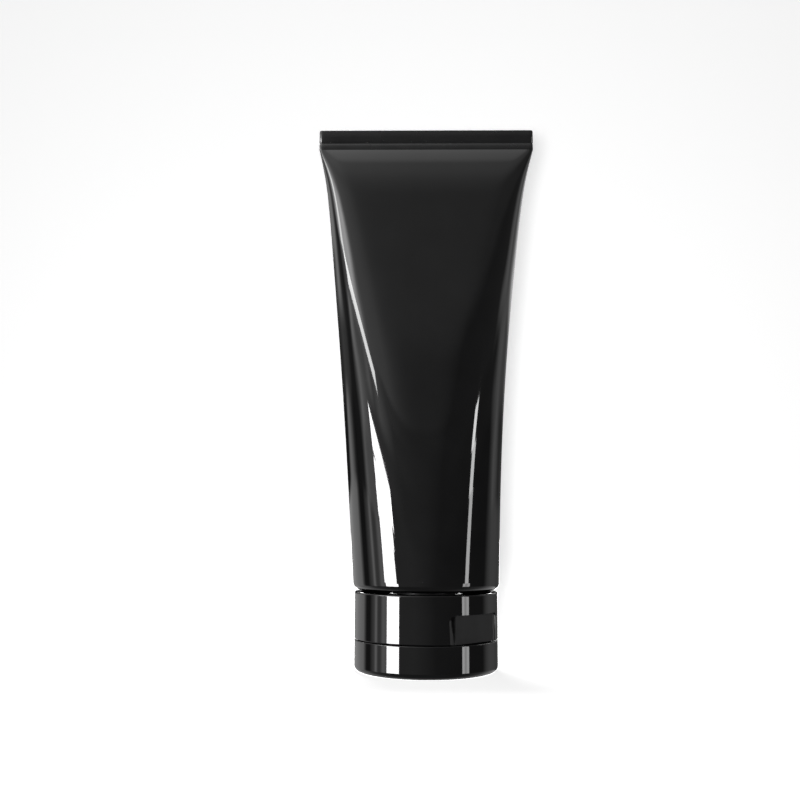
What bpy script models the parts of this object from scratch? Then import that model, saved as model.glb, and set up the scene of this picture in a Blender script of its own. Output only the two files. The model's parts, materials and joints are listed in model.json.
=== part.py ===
"""Squeeze tube of shaving cream, standing on its closed flip-top cap.

Metres, +Z up. The tube's axis is Z and the surface it stands on is Z = 0. The
sleeve is round at its shoulder and is pressed flat towards the crimped tail,
which is at the top and runs along X. The cap screws onto the neck. Its lid
swings on a strap hinge made of three moulded panels, opposite the thumb recess.
"""

from math import acos, cos, pi, radians, sin

import bmesh
import bpy
from mathutils import Matrix

MM = 0.001
GAP = 0.3 * MM

# Sleeve
TUBE_RADIUS = 25.0 * MM
SLEEVE_WALL = 0.5 * MM
SLEEVE_BASE_Z = 27.1 * MM
SHOULDER_CORNER = 2.2 * MM
SLEEVE_LIP_RADIUS = 21.5 * MM
CRIMP_BASE_Z = 184.3 * MM
CRIMP_HEIGHT = 7.4 * MM
CRIMP_THICKNESS = 1.0 * MM
SLEEVE_SEGMENTS = 56
SLEEVE_STEPS = 18
# Thickness of the flattening sleeve as a share of its diameter, against the
# share of the way from the crimp to the shoulder.
FLATTENING = [(0.0, 0.02), (0.1, 0.25), (0.25, 0.44), (0.47, 0.67), (0.71, 0.85), (0.9, 0.952), (1.0, 1.0)]

# Cap
CAP_RADIUS = 24.4 * MM
CAP_WALL = 1.5 * MM
CAP_TOP_Z = 26.3 * MM
PARTING_Z = 10.7 * MM
LID_FLOOR = 1.6 * MM
LID_CORNER = 2.0 * MM
EDGE_ROUND = 0.4 * MM
LEDGE_Z = PARTING_Z + GAP / 2
RIM_Z = PARTING_Z - GAP / 2
BOSS_RADIUS = 21.8 * MM
BOSS_FACE_Z = LEDGE_Z - 1.2 * MM
DECK_TOP_Z = 12.1 * MM
NOZZLE_RADIUS = 7.7 * MM
NOZZLE_BORE_RADIUS = 3.5 * MM
NOZZLE_TIP_Z = BOSS_FACE_Z - 3.0 * MM
PLUG_RADIUS = 3.05 * MM
PLUG_TOP_Z = NOZZLE_TIP_Z + 1.4 * MM
PLUG_COLLAR_RADIUS = 4.1 * MM
PLUG_COLLAR_Z = LID_FLOOR + 1.0 * MM
COLLAR_INNER_RADIUS = 11.2 * MM
COLLAR_WALL = 1.4 * MM
COLLAR_TOP_Z = CAP_TOP_Z - 0.6 * MM
CAP_SEGMENTS = 56

# Thumb recess: a flat cut into the skirt, open at the parting line
THUMB_AZIMUTH = radians(-45)
THUMB_FLAT_DISTANCE = 22.1 * MM
THUMB_HEIGHT = 9.2 * MM
THUMB_CORNER = 1.8 * MM
THUMB_BACKING = 1.6 * MM

# Strap hinge
HINGE_AZIMUTH = radians(135)
STRAP_LENGTH = 5.5 * MM
STRAP_THICKNESS = 0.8 * MM
STRAP_DISTANCE = 22.8 * MM
CENTRE_PANEL_WIDTH = 5.3 * MM
SIDE_PANEL_WIDTH = 4.6 * MM
PANEL_GAP = 0.5 * MM
BASE_LINE_Z = PARTING_Z + STRAP_LENGTH / 2
LID_LINE_Z = PARTING_Z - STRAP_LENGTH / 2
STRAP_BACKING = 1.2 * MM

# Shoulder and neck
SHOULDER_PLATE = 1.6 * MM
SHOULDER_RIM_WALL = 1.4 * MM
SHOULDER_RIM_Z = 31.5 * MM
NECK_RADIUS = 10.0 * MM
NECK_BORE_RADIUS = 8.0 * MM
SEAL_THICKNESS = 0.4 * MM
SEAL_BASE_Z = DECK_TOP_Z + GAP
NECK_END_Z = SEAL_BASE_Z + SEAL_THICKNESS + GAP
NECK_SEGMENTS = 48

# Screw thread, right-handed on both pieces
THREAD_PITCH = 3.0 * MM
THREAD_TURNS = 1.25
THREAD_DEPTH = 0.9 * MM
THREAD_ROOT = 1.4 * MM
THREAD_TIP = 0.5 * MM
THREAD_STEPS = 45
NECK_THREAD_Z = 17.0 * MM
COLLAR_THREAD_Z = NECK_THREAD_Z + THREAD_PITCH / 2

# Cream
CREAM_GAP = 0.4 * MM
CREAM_TOP_Z = 163.0 * MM
CREAM_SEGMENTS = 32
CREAM_STEPS = 9

BLACK = (0.012, 0.012, 0.013)
SOFT_BLACK = (0.02, 0.02, 0.021)
CREAM_WHITE = (0.86, 0.87, 0.86)
FOIL_GREY = (0.78, 0.79, 0.8)


def clear_scene():
    for obj in list(bpy.data.objects):
        bpy.data.objects.remove(obj, do_unlink=True)


def new_collection(name):
    collection = bpy.data.collections.new(name)
    bpy.context.scene.collection.children.link(collection)
    return collection


def new_material(name, colour, roughness, metallic=0.0):
    material = bpy.data.materials.new(name)
    material.use_nodes = True
    shader = material.node_tree.nodes["Principled BSDF"]
    shader.inputs["Base Color"].default_value = (*colour, 1.0)
    shader.inputs["Roughness"].default_value = roughness
    shader.inputs["Metallic"].default_value = metallic
    return material


def add_object(name, mesh, collection, material=None):
    obj = bpy.data.objects.new(name, mesh)
    collection.objects.link(obj)
    if material:
        mesh.materials.append(material)
        mesh.shade_smooth()
        mesh.set_sharp_from_angle(angle=radians(35))
    return obj


def new_empty(name, collection, location, azimuth=0.0, parent=None):
    """An empty that marks a joint's axis."""
    empty = bpy.data.objects.new(name, None)
    collection.objects.link(empty)
    empty.location = location
    empty.rotation_euler = (0, 0, azimuth)
    bpy.context.view_layer.update()
    if parent:
        attach(empty, parent)
    return empty


def attach(obj, parent):
    """Parent an object and leave it where it is."""
    bpy.context.view_layer.update()
    obj.parent = parent
    obj.matrix_parent_inverse = parent.matrix_world.inverted()


def arc(centre_x, centre_z, radius, start, end, steps=4):
    """Points of an arc in the profile plane, angles in degrees from +X."""
    points = []
    for i in range(steps + 1):
        angle = radians(start + (end - start) * i / steps)
        points.append((centre_x + radius * cos(angle), centre_z + radius * sin(angle)))
    return points


def profile_mesh(name, points, closed):
    bm = bmesh.new()
    verts = [bm.verts.new((x, 0, z)) for x, z in points]
    for a, b in zip(verts, verts[1:]):
        bm.edges.new((a, b))
    if closed:
        bm.edges.new((verts[-1], verts[0]))
    mesh = bpy.data.meshes.new(name)
    bm.to_mesh(mesh)
    bm.free()
    return mesh


def add_screw(obj, steps, angle=2 * pi, rise=0.0):
    screw = obj.modifiers.new("Turn", "SCREW")
    screw.axis = "Z"
    screw.angle = angle
    screw.screw_offset = rise
    screw.steps = steps
    screw.render_steps = steps
    screw.use_smooth_shade = False
    screw.use_merge_vertices = rise == 0.0
    screw.merge_threshold = 0.00001
    return screw


def turned(name, points, closed, segments, collection, material=None):
    """A solid of revolution about Z, from a profile that runs down its outer side."""
    obj = add_object(name, profile_mesh(name, points, closed), collection, material)
    add_screw(obj, segments)
    return obj


def evaluated_mesh(obj):
    bpy.context.view_layer.update()
    depsgraph = bpy.context.evaluated_depsgraph_get()
    return bpy.data.meshes.new_from_object(obj.evaluated_get(depsgraph))


def mark_as_cutter(obj):
    obj.hide_render = True
    obj.display_type = "WIRE"


def combine(obj, tool, operation):
    boolean = obj.modifiers.new(operation.title(), "BOOLEAN")
    boolean.operation = operation
    boolean.object = tool
    boolean.solver = "EXACT"


def box_on_azimuth(name, azimuth, near, far, half_width, low, high, collection):
    """A box between two distances from the tube's axis, facing along an azimuth."""
    bm = bmesh.new()
    bmesh.ops.create_cube(bm, size=1.0)
    size = Matrix.Diagonal((far - near, 2 * half_width, high - low, 1))
    bmesh.ops.transform(bm, matrix=size, verts=bm.verts)
    mesh = bpy.data.meshes.new(name)
    bm.to_mesh(mesh)
    bm.free()
    obj = add_object(name, mesh, collection)
    middle = (near + far) / 2
    obj.location = (middle * cos(azimuth), middle * sin(azimuth), (low + high) / 2)
    obj.rotation_euler = (0, 0, azimuth)
    mark_as_cutter(obj)
    return obj


def helical_ridge(name, root_radius, outward, start_z, collection):
    """A thread ridge: a trapezoid swept up a right-handed helix and capped."""
    sink = 0.4 * MM
    base_x = root_radius - sink * outward
    tip_x = root_radius + THREAD_DEPTH * outward
    half_root = THREAD_ROOT / 2
    half_tip = THREAD_TIP / 2
    points = [(tip_x, half_tip), (tip_x, -half_tip), (root_radius, -half_root)]
    points += [(base_x, -half_root), (base_x, half_root), (root_radius, half_root)]
    guide = add_object(name + "_guide", profile_mesh(name, points, True), collection)
    add_screw(guide, THREAD_STEPS, 2 * pi * THREAD_TURNS, THREAD_PITCH * THREAD_TURNS)
    mesh = evaluated_mesh(guide)
    bpy.data.objects.remove(guide, do_unlink=True)
    bm = bmesh.new()
    bm.from_mesh(mesh)
    open_edges = [edge for edge in bm.edges if edge.is_boundary]
    bmesh.ops.holes_fill(bm, edges=open_edges, sides=0)
    bmesh.ops.recalc_face_normals(bm, faces=bm.faces)
    bm.to_mesh(mesh)
    bm.free()
    ridge = add_object(name, mesh, collection)
    ridge.location = (0, 0, start_z)
    mark_as_cutter(ridge)
    return ridge


def skirt_backing(name, azimuth, near, half_width, low, high, collection):
    """A block inside the skirt that closes the wall behind a recess."""
    radius = CAP_RADIUS - CAP_WALL / 2
    points = [(0, high), (radius, high), (radius, low), (0, low)]
    block = turned(name, points, False, CAP_SEGMENTS, collection)
    mark_as_cutter(block)
    box = box_on_azimuth(name + "_limits", azimuth, near, 2 * radius, half_width,
                         low - MM, high + MM, collection)
    combine(block, box, "INTERSECT")
    return block


def thumb_cutter(collection):
    """The thumb recess's cutter, with its two upper corners rounded."""
    half_width = CAP_RADIUS * sin(acos(THUMB_FLAT_DISTANCE / CAP_RADIUS)) + 0.3 * MM
    cutter = box_on_azimuth("thumb_cutter", THUMB_AZIMUTH, THUMB_FLAT_DISTANCE, CAP_RADIUS + 2 * MM,
                            half_width, LEDGE_Z - 0.5 * MM, LEDGE_Z + THUMB_HEIGHT, collection)
    bm = bmesh.new()
    bm.from_mesh(cutter.data)
    upper = [edge for edge in bm.edges
             if min(v.co.z for v in edge.verts) > 0
             and abs(edge.verts[0].co.y - edge.verts[1].co.y) < MM]
    bmesh.ops.bevel(bm, geom=upper, offset=THUMB_CORNER, segments=4, profile=0.5, affect="EDGES")
    bm.to_mesh(cutter.data)
    bm.free()
    return cutter


def hinge_cutter(low, high, name, collection):
    """Clears the wall around the strap, from its inner face outwards."""
    half_width = CENTRE_PANEL_WIDTH / 2 + PANEL_GAP + SIDE_PANEL_WIDTH + GAP
    near = STRAP_DISTANCE - STRAP_THICKNESS / 2 - GAP
    return box_on_azimuth(name, HINGE_AZIMUTH, near, CAP_RADIUS + 2 * MM,
                          half_width, low, high, collection)


def make_cap_base(parts, cutters, material):
    skirt_inner = CAP_RADIUS - CAP_WALL
    bore = NOZZLE_BORE_RADIUS
    points = arc(CAP_RADIUS - EDGE_ROUND, CAP_TOP_Z - EDGE_ROUND, EDGE_ROUND, 90, 0, 2)
    points += [(CAP_RADIUS, LEDGE_Z + EDGE_ROUND / 2), (CAP_RADIUS - EDGE_ROUND / 2, LEDGE_Z)]
    points += [(BOSS_RADIUS, LEDGE_Z), (BOSS_RADIUS, BOSS_FACE_Z + EDGE_ROUND)]
    points += [(BOSS_RADIUS - EDGE_ROUND, BOSS_FACE_Z)]
    points += [(NOZZLE_RADIUS, BOSS_FACE_Z), (NOZZLE_RADIUS - 0.4 * MM, BOSS_FACE_Z - MM)]
    points += arc(NOZZLE_RADIUS - 1.6 * MM, NOZZLE_TIP_Z + 1.2 * MM, 1.2 * MM, 0, -90, 3)
    points += arc(bore + 0.8 * MM, NOZZLE_TIP_Z + 0.8 * MM, 0.8 * MM, -90, -180, 2)
    points += [(bore, DECK_TOP_Z), (COLLAR_INNER_RADIUS, DECK_TOP_Z)]
    points += [(COLLAR_INNER_RADIUS, COLLAR_TOP_Z), (COLLAR_INNER_RADIUS + COLLAR_WALL, COLLAR_TOP_Z)]
    points += [(COLLAR_INNER_RADIUS + COLLAR_WALL, DECK_TOP_Z), (skirt_inner, DECK_TOP_Z)]
    points += [(skirt_inner, CAP_TOP_Z)]
    base = turned("cap_base", points, True, CAP_SEGMENTS, parts, material)

    ridge = helical_ridge("collar_ridge", COLLAR_INNER_RADIUS, -1, COLLAR_THREAD_Z, cutters)
    combine(base, ridge, "UNION")
    thumb_half_width = CAP_RADIUS * sin(acos(THUMB_FLAT_DISTANCE / CAP_RADIUS)) + 0.6 * MM
    thumb_backing = skirt_backing("thumb_backing", THUMB_AZIMUTH, THUMB_FLAT_DISTANCE - THUMB_BACKING,
                                  thumb_half_width, DECK_TOP_Z - 0.5 * MM,
                                  LEDGE_Z + THUMB_HEIGHT + THUMB_BACKING, cutters)
    combine(base, thumb_backing, "UNION")
    recess_top = BASE_LINE_Z + STRAP_THICKNESS / 2 + GAP
    strap_half_width = CENTRE_PANEL_WIDTH / 2 + PANEL_GAP + SIDE_PANEL_WIDTH + GAP
    strap_near = STRAP_DISTANCE - STRAP_THICKNESS / 2 - GAP - STRAP_BACKING
    strap_backing = skirt_backing("strap_backing", HINGE_AZIMUTH, strap_near, strap_half_width + MM,
                                  DECK_TOP_Z - 0.5 * MM, recess_top + STRAP_BACKING, cutters)
    combine(base, strap_backing, "UNION")
    combine(base, thumb_cutter(cutters), "DIFFERENCE")
    combine(base, hinge_cutter(LEDGE_Z - 0.1 * MM, recess_top, "base_hinge_cutter", cutters), "DIFFERENCE")
    return base


def make_cap_lid(parts, cutters, material):
    inner = CAP_RADIUS - CAP_WALL
    points = [(0, PLUG_TOP_Z), (PLUG_RADIUS - 0.7 * MM, PLUG_TOP_Z), (PLUG_RADIUS, PLUG_TOP_Z - 0.8 * MM)]
    points += [(PLUG_RADIUS, PLUG_COLLAR_Z), (PLUG_COLLAR_RADIUS, PLUG_COLLAR_Z)]
    points += [(PLUG_COLLAR_RADIUS, LID_FLOOR)]
    points += arc(inner - MM, LID_FLOOR + MM, MM, -90, 0, 3)
    points += [(inner, RIM_Z), (CAP_RADIUS - EDGE_ROUND / 2, RIM_Z), (CAP_RADIUS, RIM_Z - EDGE_ROUND / 2)]
    points += arc(CAP_RADIUS - LID_CORNER, LID_CORNER, LID_CORNER, 0, -90, 4)
    points += [(0, 0)]
    lid = turned("cap_lid", points, False, CAP_SEGMENTS, parts, material)
    recess_foot = LID_LINE_Z - STRAP_THICKNESS / 2 - GAP
    combine(lid, hinge_cutter(recess_foot, RIM_Z + MM, "lid_hinge_cutter", cutters), "DIFFERENCE")
    return lid


def make_strap(name, offset, width, parts, material):
    """One hinge panel: a flat link with half-round ends centred on its two film lines."""
    radius = STRAP_THICKNESS / 2
    outline = arc(0, 0, radius, 0, 180, 6) + arc(0, -STRAP_LENGTH, radius, 180, 360, 6)
    curve = bpy.data.curves.new(name, "CURVE")
    curve.dimensions = "2D"
    curve.fill_mode = "BOTH"
    curve.extrude = width / 2
    spline = curve.splines.new("POLY")
    spline.points.add(len(outline) - 1)
    for point, (x, z) in zip(spline.points, outline):
        point.co = (x, z, 0, 1)
    spline.use_cyclic_u = True
    guide = bpy.data.objects.new(name + "_guide", curve)
    parts.objects.link(guide)
    mesh = evaluated_mesh(guide)
    bpy.data.objects.remove(guide, do_unlink=True)
    bm = bmesh.new()
    bm.from_mesh(mesh)
    bmesh.ops.remove_doubles(bm, verts=bm.verts, dist=0.00001)
    bmesh.ops.recalc_face_normals(bm, faces=bm.faces)
    bmesh.ops.rotate(bm, matrix=Matrix.Rotation(radians(90), 3, "X"), verts=bm.verts)
    bm.to_mesh(mesh)
    bm.free()
    strap = add_object(name, mesh, parts, material)
    strap.rotation_euler = (0, 0, HINGE_AZIMUTH)
    x = STRAP_DISTANCE * cos(HINGE_AZIMUTH) - offset * sin(HINGE_AZIMUTH)
    y = STRAP_DISTANCE * sin(HINGE_AZIMUTH) + offset * cos(HINGE_AZIMUTH)
    strap.location = (x, y, BASE_LINE_Z)
    return strap


def make_shoulder(parts, cutters, material):
    """Shoulder plate, its rim inside the sleeve, and the threaded neck below it."""
    corner = SHOULDER_CORNER - SLEEVE_WALL - GAP
    centre_x = TUBE_RADIUS - SHOULDER_CORNER
    centre_z = SLEEVE_BASE_Z + SHOULDER_CORNER
    rim_radius = centre_x + corner
    plate_top = SLEEVE_BASE_Z + SHOULDER_PLATE
    step_radius = SLEEVE_LIP_RADIUS - GAP
    points = [(rim_radius, SHOULDER_RIM_Z)]
    points += arc(centre_x, centre_z, corner, 0, -90, 3)
    points += [(step_radius, centre_z - corner), (step_radius, SLEEVE_BASE_Z)]
    points += [(NECK_RADIUS + 0.8 * MM, SLEEVE_BASE_Z), (NECK_RADIUS, SLEEVE_BASE_Z - 0.8 * MM)]
    points += [(NECK_RADIUS, NECK_END_Z + EDGE_ROUND), (NECK_RADIUS - EDGE_ROUND, NECK_END_Z)]
    points += [(NECK_BORE_RADIUS, NECK_END_Z), (NECK_BORE_RADIUS, plate_top)]
    points += [(rim_radius - SHOULDER_RIM_WALL, plate_top), (rim_radius - SHOULDER_RIM_WALL, SHOULDER_RIM_Z)]
    shoulder = turned("tube_shoulder", points, True, NECK_SEGMENTS, parts, material)
    ridge = helical_ridge("neck_ridge", NECK_RADIUS, 1, NECK_THREAD_Z, cutters)
    combine(shoulder, ridge, "UNION")
    return shoulder


def make_seal(parts, material):
    """Foil liner between the neck's end and the deck, pierced for the cream."""
    top = SEAL_BASE_Z + SEAL_THICKNESS
    outer = NECK_RADIUS - EDGE_ROUND
    points = [(outer, top), (outer, SEAL_BASE_Z), (NOZZLE_BORE_RADIUS, SEAL_BASE_Z), (NOZZLE_BORE_RADIUS, top)]
    return turned("neck_seal", points, True, NECK_SEGMENTS, parts, material)


def flattening(share):
    """Thickness over diameter at a share of the way from the crimp to the shoulder."""
    slopes = []
    last = len(FLATTENING) - 1
    for i in range(len(FLATTENING)):
        a = FLATTENING[max(i - 1, 0)]
        b = FLATTENING[min(i + 1, last)]
        slopes.append((b[1] - a[1]) / (b[0] - a[0]))
    for i in range(last):
        x0, y0 = FLATTENING[i]
        x1, y1 = FLATTENING[i + 1]
        if share <= x1 or i == last - 1:
            t = (share - x0) / (x1 - x0)
            width = x1 - x0
            ease = t * t * (3 - 2 * t)
            lean = slopes[i] * t * (1 - t) ** 2 - slopes[i + 1] * t * t * (1 - t)
            return y0 + (y1 - y0) * ease + width * lean


def thickness_at(z):
    shoulder_z = SLEEVE_BASE_Z + SHOULDER_CORNER
    share = min(1.0, (CRIMP_BASE_Z - z) / (CRIMP_BASE_Z - shoulder_z))
    return 2 * TUBE_RADIUS * flattening(share)


def flattened_ring(thickness, inset, z, segments):
    """Points round a flattened tube: two flats and two half-round edges.

    The outer girth stays that of the round tube, and points stay at equal
    steps along it, because the film bends and doesn't stretch.
    """
    width = pi * TUBE_RADIUS - (pi / 2 - 1) * thickness
    flat = width - thickness
    radius = thickness / 2
    quarter = pi * radius / 2
    girth = 2 * flat + 4 * quarter
    points = []
    for i in range(segments):
        along = girth * i / segments
        half = along % (girth / 2)
        if half <= quarter:
            angle = half / radius
            centre = flat / 2
        elif half <= quarter + flat:
            angle = pi / 2
            centre = flat / 2 - (half - quarter)
        else:
            angle = (half - flat) / radius
            centre = -flat / 2
        x = centre + (radius - inset) * cos(angle)
        y = (radius - inset) * sin(angle)
        side = 1 if along < girth / 2 else -1
        points.append((side * x, side * y, z))
    return points


def loft(name, rings, collection, material):
    """One closed solid through rings of equal count, the ends filled."""
    bm = bmesh.new()
    loops = [[bm.verts.new(point) for point in ring] for ring in rings]
    count = len(loops[0])
    for lower, upper in zip(loops, loops[1:]):
        for i in range(count):
            j = (i + 1) % count
            bm.faces.new((lower[i], lower[j], upper[j], upper[i]))
    for loop in (loops[0], loops[-1]):
        for i in range(count // 2 - 1):
            a, b = loop[i + 1], loop[i]
            c, d = loop[-1 - i], loop[-2 - i]
            bm.faces.new((a, b, c, d))
    bmesh.ops.recalc_face_normals(bm, faces=bm.faces)
    mesh = bpy.data.meshes.new(name)
    bm.to_mesh(mesh)
    bm.free()
    return add_object(name, mesh, collection, material)


def make_sleeve(parts, material):
    """The film sleeve, from its turned-in lip up to the crimp and back down inside."""
    corner_z = SLEEVE_BASE_Z + SHOULDER_CORNER
    corner_x = TUBE_RADIUS - SHOULDER_CORNER
    heights = [corner_z + (CRIMP_BASE_Z - corner_z) * (i / SLEEVE_STEPS) for i in range(SLEEVE_STEPS + 1)]
    heights.insert(-1, CRIMP_BASE_Z - 3.0 * MM)
    round_thickness = 2 * TUBE_RADIUS

    def corner(inset):
        radius = SHOULDER_CORNER - inset
        bends = arc(corner_x, corner_z, radius, -90, 0, 4)[:-1]
        lip = [(SLEEVE_LIP_RADIUS, corner_z - radius)]
        return [flattened_ring(round_thickness, TUBE_RADIUS - x, z, SLEEVE_SEGMENTS) for x, z in lip + bends]

    inner = corner(SLEEVE_WALL)
    for z in heights[:-1]:
        inner.append(flattened_ring(thickness_at(z), SLEEVE_WALL, z, SLEEVE_SEGMENTS))
    outer = corner(0.0)
    for z in heights:
        outer.append(flattened_ring(max(thickness_at(z), CRIMP_THICKNESS), 0.0, z, SLEEVE_SEGMENTS))
    outer.append(flattened_ring(CRIMP_THICKNESS, 0.0, CRIMP_BASE_Z + CRIMP_HEIGHT, SLEEVE_SEGMENTS))
    return loft("tube_sleeve", inner[::-1] + outer, parts, material)


def make_cream(parts, material):
    """The cream: a stem in the neck, and a body that fills most of the sleeve."""
    stem = NECK_BORE_RADIUS - CREAM_GAP
    floor_z = SLEEVE_BASE_Z + SHOULDER_PLATE + GAP
    rim_inner = TUBE_RADIUS - SLEEVE_WALL - GAP - SHOULDER_RIM_WALL
    body = TUBE_RADIUS - SLEEVE_WALL - CREAM_GAP
    clear_z = SHOULDER_RIM_Z + GAP
    outline = [(stem, NECK_END_Z), (stem, floor_z), (rim_inner - CREAM_GAP, floor_z + GAP)]
    outline += [(rim_inner - CREAM_GAP, clear_z), (body - MM, clear_z + GAP)]
    rings = [flattened_ring(2 * TUBE_RADIUS, TUBE_RADIUS - x, z, CREAM_SEGMENTS) for x, z in outline]
    low = clear_z + 2 * MM
    for i in range(CREAM_STEPS + 1):
        z = low + (CREAM_TOP_Z - low) * i / CREAM_STEPS
        rings.append(flattened_ring(thickness_at(z), SLEEVE_WALL + 2 * CREAM_GAP, z, CREAM_SEGMENTS))
    return loft("cream_fill", rings, parts, material)


def build():
    clear_scene()
    parts = new_collection("shaving_cream_tube")
    cutters = new_collection("cutters")
    gloss_film = new_material("black_gloss_film", BLACK, 0.12)
    gloss_cap = new_material("black_gloss_cap", BLACK, 0.1)
    satin = new_material("black_satin_plastic", SOFT_BLACK, 0.4)
    cream = new_material("white_cream", CREAM_WHITE, 0.45)
    foil = new_material("foil_liner", FOIL_GREY, 0.3, 1.0)

    base_line = (STRAP_DISTANCE * cos(HINGE_AZIMUTH), STRAP_DISTANCE * sin(HINGE_AZIMUTH), BASE_LINE_Z)
    base_axis = new_empty("base_film_line", parts, base_line, HINGE_AZIMUTH)
    lid_axis = new_empty("lid_film_line", parts, (*base_line[:2], LID_LINE_Z), HINGE_AZIMUTH, base_axis)
    screw_axis = new_empty("screw_axis", parts, (0, 0, 0))

    make_cap_base(parts, cutters, gloss_cap)
    attach(make_cap_lid(parts, cutters, gloss_cap), lid_axis)
    side_offset = CENTRE_PANEL_WIDTH / 2 + PANEL_GAP + SIDE_PANEL_WIDTH / 2
    straps = [("hinge_strap_centre", 0.0, CENTRE_PANEL_WIDTH)]
    straps += [("hinge_strap_left", -side_offset, SIDE_PANEL_WIDTH)]
    straps += [("hinge_strap_right", side_offset, SIDE_PANEL_WIDTH)]
    for name, offset, width in straps:
        attach(make_strap(name, offset, width, parts, satin), base_axis)

    attach(make_seal(parts, foil), screw_axis)
    attach(make_shoulder(parts, cutters, satin), screw_axis)
    attach(make_sleeve(parts, gloss_film), screw_axis)
    attach(make_cream(parts, cream), screw_axis)
    bpy.context.view_layer.update()


build()
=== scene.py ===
"""Looks for the shaving cream tube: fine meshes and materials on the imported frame."""

import json
from math import acos, cos, pi, radians, sin

import bmesh
import bpy
import numpy as np
from mathutils import Matrix, Vector


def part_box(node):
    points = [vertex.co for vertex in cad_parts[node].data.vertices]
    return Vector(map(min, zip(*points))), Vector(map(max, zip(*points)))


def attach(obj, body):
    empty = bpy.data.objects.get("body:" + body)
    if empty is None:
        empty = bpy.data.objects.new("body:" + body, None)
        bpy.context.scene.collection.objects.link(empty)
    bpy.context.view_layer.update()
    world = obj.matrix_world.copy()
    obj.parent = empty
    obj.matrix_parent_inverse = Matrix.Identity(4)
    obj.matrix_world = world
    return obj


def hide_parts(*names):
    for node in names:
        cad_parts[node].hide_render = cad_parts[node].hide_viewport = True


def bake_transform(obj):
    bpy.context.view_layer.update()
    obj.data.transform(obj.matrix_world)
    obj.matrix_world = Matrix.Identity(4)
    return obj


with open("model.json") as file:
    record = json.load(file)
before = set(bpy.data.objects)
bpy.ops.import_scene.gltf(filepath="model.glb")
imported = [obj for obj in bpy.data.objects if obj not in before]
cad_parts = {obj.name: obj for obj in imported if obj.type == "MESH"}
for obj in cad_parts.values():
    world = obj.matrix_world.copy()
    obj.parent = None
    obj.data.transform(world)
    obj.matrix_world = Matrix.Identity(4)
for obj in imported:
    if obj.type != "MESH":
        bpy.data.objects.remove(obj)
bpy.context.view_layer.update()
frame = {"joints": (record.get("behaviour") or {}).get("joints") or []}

MM = 0.001

# Places read from the frame
SLEEVE_LOW, SLEEVE_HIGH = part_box("tube_sleeve")
BASE_LOW, BASE_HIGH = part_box("cap_base")
LID_LOW, LID_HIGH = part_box("cap_lid")
NECK_LOW, NECK_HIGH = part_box("tube_shoulder")
SEAL_LOW, SEAL_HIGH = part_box("neck_seal")
CREAM_LOW, CREAM_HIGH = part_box("cream_fill")
JOINTS = {joint["name"]: joint for joint in frame["joints"]}
BASE_LINE = Vector(JOINTS["strap_swing"]["pos_m"])
LID_LINE = Vector(JOINTS["lid_swing"]["pos_m"])

TUBE_RADIUS = SLEEVE_HIGH.y
CAP_RADIUS = BASE_HIGH.x
CAP_TOP_Z = BASE_HIGH.z
SLEEVE_BASE_Z = SLEEVE_LOW.z
TAIL_Z = SLEEVE_HIGH.z
NOZZLE_TIP_Z = BASE_LOW.z
PARTING_Z = (BASE_LINE.z + LID_LINE.z) / 2
HINGE_DISTANCE = Vector((BASE_LINE.x, BASE_LINE.y)).length
HINGE_AZIMUTH = Vector((1, 0)).angle_signed(Vector((BASE_LINE.x, BASE_LINE.y))) * -1
STRAP_LENGTH = BASE_LINE.z - LID_LINE.z
PARTING_GAP = PARTING_Z - LID_HIGH.z

# Sleeve
SLEEVE_WALL = 0.5 * MM
SHOULDER_CORNER = 2.2 * MM
SLEEVE_LIP_RADIUS = 21.5 * MM
CRIMP_HEIGHT = 7.4 * MM
CRIMP_THICKNESS = 1.0 * MM
CRIMP_BASE_Z = TAIL_Z - CRIMP_HEIGHT
SHOULDER_Z = SLEEVE_BASE_Z + SHOULDER_CORNER
BOW = -0.9 * MM
# How far the bend of the pressed edges spreads into the flats
EDGE_SOFTNESS = 3.2 * MM
# Share of the way from the crimp down to the shoulder, and thickness over diameter there
FLATTENING = [(0.0, 0.0206), (0.02, 0.0665), (0.045, 0.1272), (0.075, 0.1962), (0.11, 0.2621),
              (0.16, 0.3339), (0.25, 0.4396), (0.36, 0.5596), (0.5, 0.6956), (0.65, 0.812),
              (0.8, 0.9021), (0.9, 0.9532), (1.0, 1.0)]
# The crimp's profile in mm: height above its foot, and how proud its face stands there
CRIMP_PROFILE = [(0.0, 0.03), (0.2, 0.04), (2.2, 0.04), (2.35, -0.12), (2.6, -0.12), (2.75, 0.04),
                 (CRIMP_HEIGHT / MM - 0.3, 0.04), (CRIMP_HEIGHT / MM, -0.1)]
# Waves that run along the film: height in mm, number round the tube, drift up the tube, phase
RIPPLES = [(0.0275, 9, 2.2, 0.6), (0.015, 17, -3.1, 0)]
FOLDS = [(0.022, 33, 5, 0), (0.014, 21, -9, 1)]
SLEEVE_SEGMENTS = 240
SLEEVE_RINGS = 150
CORNER_RINGS = 9
CREAM_SEGMENTS = 96
CREAM_RINGS = 30
CREAM_CLEARANCE = 0.4 * MM
# Keeps the crimp's lowest ring off the ring below it
HAIR = 1e-6

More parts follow.
